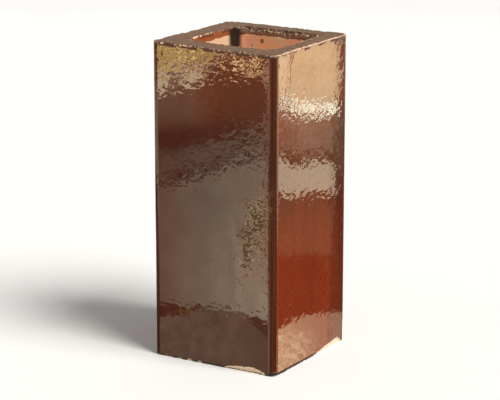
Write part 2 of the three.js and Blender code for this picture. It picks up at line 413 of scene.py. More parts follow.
class Nodes:
    """Short ways to add and join shader nodes in one material."""

    def __init__(self, name):
        self.material = bpy.data.materials.new(name)
        self.material.use_nodes = True
        self.tree = self.material.node_tree
        self.tree.nodes.clear()

    def add(self, kind, inputs=(), **settings):
        node = self.tree.nodes.new(kind)
        for key, value in settings.items():
            setattr(node, key, value)
        for key, value in dict(inputs).items():
            self.put(node.inputs[key], value)
        return node

    def put(self, socket, value):
        if isinstance(value, bpy.types.NodeSocket):
            self.tree.links.new(value, socket)
        else:
            socket.default_value = value

    def maths(self, operation, *values):
        """The values joined by one operation, from the first to the last."""
        total = values[0]
        for value in values[1:]:
            node = self.add("ShaderNodeMath", operation=operation)
            self.put(node.inputs[0], total)
            self.put(node.inputs[1], value)
            total = node.outputs[0]
        return total

    def sum(self, *values):
        return self.maths("ADD", *values)

    def product(self, *values):
        return self.maths("MULTIPLY", *values)

    def rest(self, share):
        return self.maths("SUBTRACT", 1.0, share)

    def attribute(self, name):
        return self.add("ShaderNodeAttribute", attribute_name=name).outputs["Fac"]

    def place(self, stretch=(1, 1, 1)):
        spot = self.add("ShaderNodeTexCoord").outputs["Object"]
        return self.add("ShaderNodeMapping", {"Vector": spot, "Scale": stretch}).outputs[0]

    def axis(self, name):
        return self.add("ShaderNodeSeparateXYZ", {"Vector": self.place()}).outputs[name]

    def noise(self, size, detail=2.0, roughness=0.5, place=None, distortion=0.0):
        inputs = {
            "Vector": place or self.place(),
            "Scale": 1 / size,
            "Detail": detail,
            "Roughness": roughness,
            "Distortion": distortion,
        }
        return self.add("ShaderNodeTexNoise", inputs).outputs["Fac"]

    def ramp(self, value, start, end, low=0.0, high=1.0, curve="SMOOTHSTEP"):
        inputs = {"Value": value, "From Min": start, "From Max": end, "To Min": low, "To Max": high}
        return self.add("ShaderNodeMapRange", inputs, interpolation_type=curve).outputs[0]

    def bell(self, value, middle, spread):
        """1 where `value` is `middle`, falling to 0 at `spread` away."""
        away = self.maths("SUBTRACT", value, middle)
        away = self.add("ShaderNodeMath", {0: away}, operation="ABSOLUTE").outputs[0]
        return self.ramp(away, 0, spread, 1, 0)

    def above(self, value, line, soft=1 * MM, wander=0.0):
        """0 where `value` with `wander` added is below `line`, 1 where it is above."""
        away = self.maths("SUBTRACT", self.sum(value, wander), line)
        return self.ramp(away, -soft, soft)

    def blend(self, share, first, second):
        """From the first colour to the second. A Mix node's colour sockets are 6 and 7."""
        node = self.add("ShaderNodeMix", data_type="RGBA")
        for index, value in ((0, share), (6, first), (7, second)):
            self.put(node.inputs[index], value)
        return node.outputs[2]

    def fade(self, value, start, end, first, second):
        """From the first colour to the second as `value` goes from `start` to `end`."""
        return self.blend(self.ramp(value, start, end), first, second)

    def course(self, value, points):
        """The height of a smooth line through `points` at each value."""
        places, levels = zip(*points)
        low, high = min(levels), max(levels)
        share = self.ramp(value, places[0], places[-1], curve="LINEAR")
        node = self.add("ShaderNodeFloatCurve", {"Value": share})
        curve = node.mapping.curves[0]
        span, rise = places[-1] - places[0], high - low
        spots = [((a - places[0]) / span, (b - low) / rise) for a, b in points]
        curve.points[0].location, curve.points[1].location = spots[0], spots[-1]
        for spot in spots[1:-1]:
            curve.points.new(*spot)
        node.mapping.update()
        return self.ramp(node.outputs[0], 0, 1, low, high, "LINEAR")

    def finish(self, shader):
        self.add("ShaderNodeOutputMaterial", {"Surface": shader.outputs[0]})
        return self.material

    def finish_glow(self, light):
        return self.finish(self.add("ShaderNodeEmission", {"Color": light, "Strength": 1.0}))


def colour(red, green, blue):
    return (red, green, blue, 1.0)


# Reflectances of the fired surfaces, linear
# The dark and warm glazes are partly shaded and sunlit copies of one glaze: painted light
DARK_AND_SHADED_GLAZE = colour(0.062, 0.0120, 0.0052)
WARM_AND_SUNLIT_GLAZE = colour(0.205, 0.0300, 0.0098)
GLAZE_FLECK = colour(0.26, 0.10, 0.035)
# A dark glaze used as painted shade on the rounded corners and in the rippled specks
PAINTED_SHADE_GLAZE = colour(0.034, 0.0095, 0.0042)
RIM_CLAY = colour(0.190, 0.094, 0.051)
RIM_DARK = colour(0.066, 0.039, 0.025)
RIM_MOSS = colour(0.125, 0.115, 0.065)
# Cream of clay bared on the arrises, spread wider on the sunny side as a painted highlight
ARRIS_CREAM_AND_HIGHLIGHT = colour(0.82, 0.61, 0.41)
# Brown of the worn arris and the crack, also used as painted shadow
ARRIS_BROWN_AND_SHADE = colour(0.070, 0.030, 0.017)
# Painted shadow along the foot
FOOT_SHADOW = colour(0.020, 0.016, 0.013)
CREAM_CLAY = colour(0.92, 0.71, 0.48)
WEATHERED_CLAY = colour(0.13, 0.060, 0.032)
RUST_CLAY = colour(0.42, 0.13, 0.048)
CREAM_SPECK = colour(0.30, 0.15, 0.08)
CRUMB = colour(0.55, 0.33, 0.21)
SCUM = colour(0.088, 0.040, 0.004)
# Painted highlight for the pale specks round the scum
SCUM_HIGHLIGHT = colour(0.34, 0.20, 0.125)
SCUM_WASH = colour(0.17, 0.095, 0.040)
BORE_GLAZE = colour(0.34, 0.090, 0.026)
# Dark glaze for the rusty spots, and painted shade on the back wall's glaze band
BORE_RUST_AND_SHADED_GLAZE = colour(0.16, 0.060, 0.026)
BORE_CLAY = colour(0.86, 0.59, 0.36)
BORE_FLASH = colour(0.98, 0.47, 0.27)
# Near-black, for the bore's back left corner and the darkest spots in weathered breaks
NEAR_BLACK = colour(0.014, 0.009, 0.007)


def glaze_colour(nodes):
    """Red-brown salt glaze: dark or warm as the kiln's heat left it and partly as painted light,
    warm on the sunlit right face and dark on the shaded front, in soft vertical streaks, with a few
    fine flecks, dark specks painted as shade where it is most rippled, and darkest on the rounded
    corners as painted shade."""
    streaks = nodes.noise(16 * MM, 2, 0.5, nodes.place((1, 1, 0.08)))
    broad = nodes.noise(60 * MM, 2, 0.5, nodes.place((1, 1, 0.5)))
    # Warmth is partly painted light: the sunlit right face warm and bright, the shaded front dark
    warm = nodes.attribute("warmth_and_light")
    swing = nodes.sum(nodes.product(streaks, 1.1), nodes.product(broad, 0.7), -0.9)
    swing = nodes.product(swing, nodes.sum(nodes.product(warm, 0.55), 0.10))
    base = nodes.blend(nodes.sum(warm, swing), DARK_AND_SHADED_GLAZE, WARM_AND_SUNLIT_GLAZE)
    flecks = nodes.ramp(nodes.noise(2.6 * MM, 2, 0.6), 0.62, 0.80, 0, 0.30)
    base = nodes.blend(flecks, base, GLAZE_FLECK)
    # Dark specks painted as shade where the glaze is most rippled
    pits = nodes.ramp(nodes.noise(4.0 * MM, 3, 0.6, nodes.place((1, 1, 0.6))), 0.35, 0.65, 0.22, 0)
    pits = nodes.product(pits, nodes.ramp(nodes.attribute("ripple"), 2.0, 3.4, 1.0, 3.6))
    base = nodes.blend(pits, base, PAINTED_SHADE_GLAZE)
    # Painted shade: the rounded corners are darkened
    return nodes.blend(nodes.product(nodes.attribute("corner"), 0.85), base, PAINTED_SHADE_GLAZE)


def distance(nodes, stretch, *middle):
    """Metres from a point. An axis whose stretch is 0 isn't counted."""
    spot = nodes.add("ShaderNodeVectorMath", {0: nodes.place(), 1: middle}, operation="SUBTRACT")
    spot = nodes.add("ShaderNodeVectorMath", {0: spot.outputs[0], 1: stretch}, operation="MULTIPLY")
    length = nodes.add("ShaderNodeVectorMath", {0: spot.outputs[0]}, operation="LENGTH")
    return length.outputs["Value"]


def bore_colour(nodes):
    """The bore: a band of glaze under the rim, darker on the back wall as painted shade, flashed
    buff clay below it, two dark rusty spots there, and a near-black run down the back left corner."""
    on_back = nodes.ramp(nodes.axis("Y"), BORE_BACK - 12 * MM, BORE_BACK - 6 * MM)
    wander = nodes.product(nodes.noise(16 * MM, 3, 0.6), 9 * MM)
    level = nodes.sum(nodes.axis("Z"), wander, nodes.ramp(on_back, 0, 1, 3.2 * MM, 3 * MM))
    band = nodes.ramp(level, HEIGHT - 4.5 * MM, HEIGHT - 2.5 * MM)
    mottle = nodes.ramp(nodes.noise(34 * MM, 4, 0.6), 0.28, 0.60, 0, 0.95)
    mottle = nodes.product(mottle, nodes.ramp(on_back, 0, 1, 0.08, 1.0))
    clay = nodes.blend(mottle, BORE_CLAY, BORE_FLASH)
    frayed = nodes.product(nodes.noise(3 * MM, 2, 0.6), 3 * MM)
    for x, depth, size in ((-24 * MM, 19 * MM, 4.2 * MM), (-41 * MM, 27 * MM, 2.6 * MM)):
        away = nodes.sum(distance(nodes, (1, 0, 0.8), x, 0, HEIGHT - depth), frayed)
        rust = nodes.product(nodes.ramp(away, size, size + 0.8 * MM, 0.9, 0), on_back)
        clay = nodes.blend(rust, clay, BORE_RUST_AND_SHADED_GLAZE)
    # The glaze band is darker on the back wall: painted shade
    skin = nodes.blend(band, clay, nodes.blend(on_back, BORE_GLAZE, BORE_RUST_AND_SHADED_GLAZE))
    # A near-black run down the back left corner of the bore
    away = distance(nodes, (1, 1, 0), BORE_LEFT + 2 * MM, BORE_BACK - 9 * MM, 0)
    ragged = nodes.sum(away, nodes.product(nodes.noise(20 * MM, 3, 0.6), 6 * MM), -3 * MM)
    return nodes.blend(nodes.ramp(ragged, 6 * MM, 15 * MM, 0.99, 0), skin, NEAR_BLACK)


def rim_colour(nodes):
    """Bare cut clay, weathered grey-brown, with dark pits and a little moss."""
    grain = nodes.noise(4.5 * MM, 4, 0.65)
    broad = nodes.noise(24 * MM, 2, 0.5)
    clay = nodes.blend(nodes.ramp(grain, 0.33, 0.62, 0.85, 0), RIM_CLAY, RIM_DARK)
    return nodes.blend(nodes.ramp(broad, 0.45, 0.75, 0, 0.45), clay, RIM_MOSS)


def chip_colour(nodes):
    """The clay in a break: cream with small rusty specks where it is fresh, rust where it is
    older, and brown where it has weathered."""
    fresh = nodes.attribute("fresh")
    specks = nodes.ramp(nodes.noise(1.7 * MM, 2, 0.5), 0.64, 0.72, 0, 0.8)
    cream = nodes.blend(specks, CREAM_CLAY, CREAM_SPECK)
    mottle = nodes.noise(3.6 * MM, 3, 0.7)
    weathered = nodes.fade(mottle, 0.52, 0.60, WEATHERED_CLAY, CRUMB)
    weathered = nodes.blend(nodes.ramp(mottle, 0.40, 0.46, 1, 0), weathered, NEAR_BLACK)
    rust = nodes.fade(mottle, 0.50, 0.62, RUST_CLAY, CRUMB)
    old = nodes.fade(fresh, 0.12, 0.28, weathered, rust)
    return nodes.fade(fresh, 0.35, 0.60, old, cream)


def arris_colours(nodes, skin, cut):
    """The worn line where the glaze stops: cream along the sunny side's rim, spread wider there as a
    painted highlight, with a painted shadow under stretches of it, broken brown and cream elsewhere
    on the rim, and a painted shadow round the foot. Gives the colour and how far the glaze is worn
    off there, together with the painted shadows."""
    at_rim = nodes.ramp(nodes.axis("Z"), 0.45 * HEIGHT, 0.55 * HEIGHT)
    line = nodes.product(nodes.bell(cut, -0.6 * MM, 1.9 * MM), at_rim)
    sunny = nodes.attribute("sunny")
    # More cream on the sunny side: a painted highlight along that rim
    threshold = nodes.ramp(sunny, 0.5, 1.0, 0.56, 0.34)
    grain = nodes.maths("SUBTRACT", nodes.noise(3.4 * MM, 3, 0.7), threshold)
    cream = nodes.ramp(grain, -0.02, 0.04)
    worn = nodes.blend(cream, ARRIS_BROWN_AND_SHADE, ARRIS_CREAM_AND_HIGHLIGHT)
    skin = nodes.blend(nodes.product(line, 0.95), skin, worn)
    # A painted shadow under stretches of the worn line near the rim
    gaps = nodes.ramp(nodes.noise(26 * MM, 2, 0.5), 0.45, 0.51)
    under = nodes.product(nodes.bell(cut, -3.7 * MM, 2.1 * MM), at_rim, gaps)
    skin = nodes.blend(under, skin, ARRIS_BROWN_AND_SHADE)
    # Painted shadow along the foot, reaching higher on the rounded corners and the sunny face
    on_corner = nodes.product(nodes.attribute("corner"), 2.5 * MM)
    foot_shadow_reach = nodes.sum(cut, on_corner, nodes.product(sunny, 1.2 * MM))
    foot = nodes.product(nodes.ramp(foot_shadow_reach, -3.8 * MM, -2.4 * MM), nodes.rest(at_rim))
    skin = nodes.blend(foot, skin, FOOT_SHADOW)
    return skin, nodes.maths("MAXIMUM", line, under, foot)


def crack(nodes):
    """A thin wandering crack down the right face, below the scab on its rim."""
    wander = nodes.product(nodes.noise(13 * MM, 3, 0.6, nodes.place((0, 0, 1))), 11 * MM)
    away = nodes.sum(nodes.axis("Y"), wander, -LOW[1] - 47 * MM)
    thin = nodes.bell(away, 0, 1.3 * MM)
    thin = nodes.product(thin, nodes.ramp(nodes.noise(6 * MM, 1), 0.36, 0.50), 0.8)
    run = nodes.product(nodes.ramp(nodes.axis("Z"), HEIGHT - 64 * MM, HEIGHT - 44 * MM), thin)
    return nodes.product(run, nodes.ramp(nodes.attribute("sunny"), 0.9, 1.0))


def scum(nodes):
    """Where the salt left dull scummed spots, pale specks painted round them as highlights and a
    buff
    wash under both: a drift down the front face near its right-hand corner, and a little on the
    faces turned away. Gives the shares of the three."""
    lean = nodes.product(nodes.sum(nodes.axis("Z"), -0.45 * HEIGHT), 0.23)
    across = nodes.sum(nodes.axis("X"), -68 * MM, nodes.product(lean, -1))
    middle = nodes.bell(nodes.axis("Z"), 0.45 * HEIGHT, 104 * MM)
    from_front = nodes.ramp(nodes.axis("Y"), LOW[1] + 3 * MM, LOW[1] + 8 * MM)
    here = nodes.product(nodes.bell(across, 0, 34 * MM), middle, nodes.rest(from_front), 1.5)
    turned = nodes.product(from_front, nodes.ramp(nodes.attribute("sunny"), 0, 0.1, 1, 0))
    elsewhere = nodes.product(nodes.ramp(nodes.noise(70 * MM, 1, 0.5), 0.62, 0.72, 0, 0.45), turned)
    share = nodes.maths("MINIMUM", nodes.maths("MAXIMUM", here, elsewhere), 1.0)
    spots = nodes.noise(9 * MM, 2.5, 0.6, nodes.place((1, 1, 1.3)), 1.4)
    level = nodes.sum(spots, nodes.product(share, 0.19))
    # Pale specks round the spots: painted highlights
    specks = nodes.product(nodes.bell(level, 0.665, 0.035), nodes.ramp(share, 0.2, 0.6))
    return nodes.ramp(level, 0.705, 0.735), specks, share


GLAZE_ROUGHNESS, BORE_ROUGHNESS, CLAY_ROUGHNESS = 0.03, 0.38, 0.85
GLAZE_RELIEF, GRIT_RELIEF = 0.145 * MM, 0.9 * MM
GLAZE_IOR = 1.55


def fired_clay():
    """One material for the whole fired piece. Attributes say where the surface is: metres past
    the glaze's edge on a cut end, how deep in a flake and how fresh that is, in the bore, on a
    rounded corner, on the sunny right face, and how rippled and how warm the glaze is, that
    warmth being partly painted light."""
    nodes = Nodes("glazed_clay")
    edge = nodes.maths("SUBTRACT", nodes.noise(4 * MM, 3, 0.6), 0.5)
    cut = nodes.sum(nodes.attribute("cut"), nodes.product(edge, 3.5 * MM))
    bare = nodes.ramp(cut, -0.6 * MM, 0.4 * MM)
    flaw = nodes.sum(nodes.attribute("flaw"), nodes.product(edge, 0.22))
    broken = nodes.ramp(flaw, 0.03, 0.09)
    in_bore = nodes.ramp(nodes.attribute("bore"), 0.45, 0.55)
    outside = nodes.rest(in_bore)

    # The glaze and what lies on it, the bore, the cut ends, the arrises and the chips
    spots, specks, wash = scum(nodes)
    dull = nodes.product(spots, outside)
    split = nodes.product(crack(nodes), outside)
    glaze = nodes.blend(nodes.product(wash, 0.18), glaze_colour(nodes), SCUM_WASH)
    # Painted highlights in the pale specks round the scum
    glaze = nodes.blend(nodes.product(specks, outside, 0.75), glaze, SCUM_HIGHLIGHT)
    glaze = nodes.blend(nodes.product(dull, 0.95), glaze, SCUM)
    glaze = nodes.blend(nodes.product(split, 0.9), glaze, ARRIS_BROWN_AND_SHADE)
    skin = nodes.blend(in_bore, glaze, bore_colour(nodes))
    skin = nodes.blend(bare, skin, rim_colour(nodes))
    # worn also holds the painted shadows under the rim's line and round the foot, made rough too
    skin, worn = arris_colours(nodes, skin, cut)
    # A dark line round each fresh chip: painted shadow of its broken glaze edge
    round_fresh = nodes.ramp(nodes.attribute("fresh"), 0.4, 0.8)
    chip_edge_shadow = nodes.product(nodes.bell(flaw, 0.0, 0.13), round_fresh, 0.8)
    skin = nodes.blend(chip_edge_shadow, skin, ARRIS_BROWN_AND_SHADE)
    skin = nodes.blend(broken, skin, chip_colour(nodes))

    # How rough it is
    rough_clay = nodes.maths("MAXIMUM", bare, broken, worn)
    glazed = nodes.rest(rough_clay)
    gloss = nodes.ramp(in_bore, 0, 1, GLAZE_ROUGHNESS, BORE_ROUGHNESS, "LINEAR")
    gloss = nodes.sum(gloss, nodes.product(dull, 0.65), nodes.product(split, 0.6))
    roughness = nodes.sum(nodes.product(gloss, glazed), nodes.product(rough_clay, CLAY_ROUGHNESS))

    # The glaze's orange peel, with pits, dull spots and the crack sunk in it, then the clay's grit
    peel = nodes.noise(11 * MM, 0.8, 0.45, nodes.place((1, 1, 1.5)), 0.5)
    fine = nodes.noise(3.2 * MM, 0.0, 0.4)
    peel = nodes.sum(peel, nodes.product(fine, 0.07))
    peel = nodes.product(peel, nodes.attribute("ripple"), glazed)
    pits = nodes.ramp(nodes.noise(2.4 * MM, 1, 0.5), 0.70, 0.80, 0, -0.35)
    sunk = nodes.product(pits, glazed), nodes.product(dull, -0.5), nodes.product(split, -1)
    bump = {"Height": nodes.sum(peel, *sunk), "Distance": GLAZE_RELIEF}
    glaze_bump = nodes.add("ShaderNodeBump", bump).outputs[0]
    grit = nodes.sum(nodes.noise(3.0 * MM, 4, 0.7), nodes.product(nodes.noise(0.9 * MM, 2), 0.4))
    grit = nodes.product(grit, rough_clay)
    bump = {"Height": grit, "Distance": GRIT_RELIEF, "Normal": glaze_bump}
    grit_bump = nodes.add("ShaderNodeBump", bump).outputs[0]
    look = {"Base Color": skin, "Roughness": roughness, "IOR": GLAZE_IOR, "Normal": grit_bump}
    return nodes.finish(nodes.add("ShaderNodeBsdfPrincipled", look))


def plain(name, red, green, blue):
    nodes = Nodes(name)
    look = {"Base Color": colour(red, green, blue), "Roughness": 0.8}
    return nodes.finish(nodes.add("ShaderNodeBsdfPrincipled", look))


def show(name, data):
    thing = bpy.data.objects.new(name, data)
    bpy.context.scene.collection.objects.link(thing)
    return thing


def four_sided(name, corners):
    mesh = bpy.data.meshes.new(name)
    mesh.from_pydata(corners, [], [(0, 1, 2, 3)])
    return mesh


def direction(azimuth, elevation):
    """The direction `azimuth` round from the front towards the right and `elevation` up, in
    radians: (sin a cos e, -cos a cos e, sin e)."""
    level = math.cos(elevation)
    return np.array([math.sin(azimuth) * level, -math.cos(azimuth) * level, math.sin(elevation)])


def looking(thing, place, target):
    thing.location = place
    thing.rotation_mode = "QUATERNION"
    thing.rotation_quaternion = (Vector(target) - Vector(place)).to_track_quat("-Z", "Y")


# The pipe
pipe = show("flue_pipe_skin", pipe_surface())
pipe.data.materials.append(fired_clay())
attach(pipe, "root")
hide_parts("flue_pipe")

# The camera: a long lens looking down on the corner between the front and right faces
AZIMUTH, ELEVATION = math.radians(31.5), math.radians(14.5)
DISTANCE = 3.213
LENS = 158.4
AIM_ASIDE, AIM_UP = -1.0 * MM, -7.7 * MM
BACKWARD = direction(AZIMUTH, ELEVATION)
ASIDE = np.array([math.cos(AZIMUTH), math.sin(AZIMUTH), 0.0])
UPWARD = np.cross(BACKWARD, ASIDE)
EYE = MIDDLE + BACKWARD * DISTANCE

lens = bpy.data.cameras.new("camera")
lens.lens = LENS
camera = show("camera", lens)
looking(camera, EYE, MIDDLE + ASIDE * AIM_ASIDE + UPWARD * AIM_UP)
bpy.context.scene.camera = camera

# The floor
FLOOR = 8.0
corners = [(-FLOOR, -FLOOR, 0), (FLOOR, -FLOOR, 0), (FLOOR, FLOOR, 0), (-FLOOR, FLOOR, 0)]
floor = show("floor", four_sided("floor", corners))
floor.data.materials.append(plain("pale_floor", 0.88, 0.88, 0.87))
floor.visible_glossy = False

# The light: one broad soft sun from the right, and an even pale sky
SUN_ELEVATION, SUN_AZIMUTH = math.radians(50), math.radians(82)
SUN_STRENGTH, SUN_WIDTH, SUN_DISTANCE = 3.6, math.radians(30), 3
SKY_STRENGTH = 0.30
sun_lamp = bpy.data.lights.new("soft_sun", "SUN")
sun_lamp.energy = SUN_STRENGTH
sun_lamp.angle = SUN_WIDTH
sun_lamp.color = (1, 0.98, 0.95)
sun = show("soft_sun", sun_lamp)
towards_sun = direction(SUN_AZIMUTH, SUN_ELEVATION)
looking(sun, MIDDLE + towards_sun * SUN_DISTANCE, MIDDLE)

world = bpy.data.worlds.new("studio")
bpy.context.scene.world = world
world.use_nodes = True
sky = world.node_tree.nodes["Background"].inputs
sky["Color"].default_value = (1, 1, 1, 1)
sky["Strength"].default_value = SKY_STRENGTH
world.cycles_visibility.glossy = False

# Reflector screens. Each stands where the camera sees it in one polished face, `BEHIND` metres
# beyond the pipe's middle in that mirror, and only the glaze's gloss sees it. It is painted in
# metres across and up, as seen on the plane through the pipe's middle that faces the camera.
MIRRORS = {"front": (1, LOW[1]), "right": (0, HIGH[0])}
BEHIND = 0.42
SCREEN_LOW, SCREEN_HIGH = -0.36, 0.28


def mirrored(face, across, up):
    """Where a point seen in the polished face stands: the line from the eye through it, carried
    on to BEHIND metres past the middle and turned over in the face's plane."""
    axis, level = MIRRORS[face]
    seen = MIDDLE + ASIDE * across + UPWARD * up
    place = EYE + (seen - EYE) * (DISTANCE + BEHIND) / DISTANCE
    place[axis] = 2 * level - place[axis]
    return place


def only_in_gloss(thing, material):
    """Stages a glowing thing that lights nothing and shows only in reflections."""
    material.cycles.emission_sampling = "NONE"
    thing.data.materials.append(material)
    for way in ("camera", "diffuse", "transmission", "volume_scatter", "shadow"):
        setattr(thing, "visible_" + way, False)
    return thing


def screen(name, face, left, right, paint):
    """A glowing screen. `paint` gives its colour from how far across and up a point is seen."""
    low, high = SCREEN_LOW, SCREEN_HIGH
    outline = [(left, low), (right, low), (right, high), (left, high)]
    mesh = four_sided(name, [mirrored(face, across, up) for across, up in outline])
    seen = mesh.attributes.new("seen", "FLOAT_VECTOR", "POINT")
    for entry, (across, up) in zip(seen.data, outline):
        entry.vector = (across, up, 0)
    nodes = Nodes(name)
    spot = nodes.add("ShaderNodeAttribute", attribute_name="seen").outputs["Vector"]
    axes = nodes.add("ShaderNodeSeparateXYZ", {"Vector": spot}).outputs
    light = paint(nodes, spot, axes["X"], axes["Y"])
    return only_in_gloss(show(name, mesh), nodes.finish_glow(light))


def glow(red, green, blue, strength=1.0):
    return (red * strength, green * strength, blue * strength, 1.0)


BLACK = glow(0, 0, 0)
DUSK = glow(0.14, 0.14, 0.12)
SUNLIT_STONE = (1, 0.9, 0.64)
BRIGHTEST = 4.0


def paint_front(nodes, spot, across, up):
    """What the front face mirrors: bright leaves and stone at the top, haze under them, a pale
    wall that grows lighter to the right and down, a dark gap with golden leaves, and the ground."""
    leaf = nodes.noise(26 * MM, 2, 0.5, spot)
    ragged = nodes.product(nodes.maths("SUBTRACT", leaf, 0.5), 60 * MM)

    # The wall: dark above one slanting ragged line, dimmer above another, which is speckled dark
    trees = nodes.sum(up, nodes.product(across, -0.27), nodes.product(ragged, 0.7))
    share = nodes.ramp(trees, 0.109, 0.079)
    share = nodes.product(share, nodes.ramp(across, -0.130, -0.085, 0.86, 1.0))
    slant = nodes.sum(up, nodes.product(across, -0.295), nodes.product(ragged, 0.35))
    share = nodes.product(share, nodes.ramp(slant, 0.045, 0.075, 1.0, 0.62))
    lower = nodes.ramp(up, 0.03, -0.14)
    rightward = nodes.ramp(across, -0.137, 0.024, curve="LINEAR")
    strength = nodes.sum(nodes.product(rightward, nodes.sum(lower, 1.30)), 1.05)
    speckle = nodes.ramp(nodes.noise(8 * MM, 2, 0.6, spot), 0.45, 0.49)
    band = nodes.maths("MINIMUM", nodes.product(nodes.bell(slant, 0.0575, 0.020), 1.8), 1.0)
    band = nodes.product(band, speckle, 0.95)
    clouds = nodes.ramp(nodes.noise(40 * MM, 3, 0.5, spot), 0.3, 0.7, 0.85, 1.15, "LINEAR")
    wall = nodes.product(share, strength, nodes.rest(band), clouds)

    # Upright streaks down its lower half
    drawn = nodes.add("ShaderNodeMapping", {"Vector": spot, "Scale": (1, 0.10, 1)}).outputs[0]
    streaks = nodes.ramp(nodes.noise(12 * MM, 2, 0.5, drawn), 0.35, 0.65, -0.12, 0.12, "LINEAR")
    streaks = nodes.sum(streaks, nodes.product(nodes.bell(across, -0.0225, 0.011), 0.22))
    low_down = nodes.ramp(up, -0.025, -0.060)
    streaks = nodes.product(streaks, nodes.bell(across, -0.030, 0.045), low_down)
    wall = nodes.ramp(nodes.product(wall, nodes.sum(1.0, streaks)), 0, BRIGHTEST, curve="LINEAR")
    picture = nodes.blend(wall, DUSK, glow(*SUNLIT_STONE, BRIGHTEST))

    # A bush before it at the right, and haze in the dark over it
    bush = nodes.product(nodes.ramp(across, -0.026, 0.004), nodes.bell(up, -0.055, 0.085))
    blots = nodes.ramp(nodes.noise(17 * MM, 2, 0.5, spot), 0.50, 0.53)
    picture = nodes.blend(nodes.product(bush, blots, 0.8), picture, glow(1.3, 1.0, 0.45))
    haze = nodes.fade(across, -0.095, -0.050, glow(1.1, 0.95, 0.62), glow(0.60, 0.44, 0.24))
    picture = nodes.blend(nodes.ramp(up, 0.085, 0.125, 0, 0.85), picture, haze)

    # The gap below the wall, and the ground
    gap = nodes.fade(across, -0.040, -0.010, DUSK, glow(0.36, 0.33, 0.22))
    leaves = nodes.ramp(nodes.noise(9 * MM, 2, 0.6, spot), 0.50, 0.54)
    leaves = nodes.product(leaves, nodes.bell(across, -0.092, 0.036))
    gap = nodes.blend(leaves, gap, glow(2.0, 1.15, 0.35))
    wall_low = nodes.course(across, [
        (-0.137, -0.157), (-0.116, -0.157), (-0.099, -0.161), (-0.074, -0.163), (-0.055, -0.166),
        (-0.036, -0.168), (-0.021, -0.175), (-0.010, -0.181), (0.008, -0.184), (0.024, -0.188),
    ])
    picture = nodes.blend(nodes.above(up, wall_low), gap, picture)
    tread = nodes.ramp(nodes.noise(22 * MM, 3, 0.6, spot), 0.35, 0.65)
    yard = nodes.blend(tread, glow(*SUNLIT_STONE, 0.75), glow(*SUNLIT_STONE, 1.22))
    yard = nodes.fade(across, -0.03, 0.02, yard, glow(1, 0.9, 0.68, 0.82))
    yard_top = nodes.course(across, [
        (-0.137, -0.180), (-0.105, -0.177), (-0.089, -0.173), (-0.074, -0.168), (-0.055, -0.167),
        (-0.036, -0.169), (-0.021, -0.176), (-0.010, -0.185), (0.008, -0.202), (0.024, -0.215),
    ])
    picture = nodes.blend(nodes.above(up, yard_top, 1.5 * MM), yard, picture)

    # Pale stone with olive leaves over it at the top left, golden leaves at the top right
    dapple = nodes.noise(20 * MM, 2, 0.5, spot)
    stone = nodes.fade(dapple, 0.42, 0.50, glow(1.7, 1.3, 0.9), glow(6.8, 5.7, 3.7))
    fine = nodes.noise(14 * MM, 2, 0.5, spot)
    golden = nodes.fade(fine, 0.47, 0.50, glow(0.5, 0.25, 0.12), glow(5.6, 3.4, 1.6))
    golden = nodes.fade(fine, 0.56, 0.60, golden, glow(13.0, 8.6, 4.4))
    olive = nodes.fade(dapple, 0.44, 0.58, glow(3.5, 2.5, 0.75), glow(6.0, 4.6, 1.5))
    olive = nodes.fade(fine, 0.60, 0.64, olive, glow(13.0, 11.0, 5.0))
    leaf_low = nodes.course(across, [
        (-0.137, 0.181), (-0.109, 0.184), (-0.068, 0.194), (-0.045, 0.200), (0.024, 0.190),
    ])
    over = nodes.above(up, leaf_low, 2 * MM, nodes.product(ragged, 0.15))
    bright = nodes.blend(over, stone, olive)
    bright = nodes.fade(across, -0.060, -0.040, bright, golden)
    sky_low = nodes.course(across, [
        (-0.137, 0.141), (-0.127, 0.147), (-0.109, 0.153), (-0.084, 0.161), (-0.068, 0.172),
        (-0.054, 0.190), (-0.045, 0.192), (-0.030, 0.185), (-0.010, 0.175), (0.024, 0.166),
    ])
    over = nodes.above(up, sky_low, wander=nodes.product(ragged, 0.25))
    return nodes.blend(over, picture, bright)


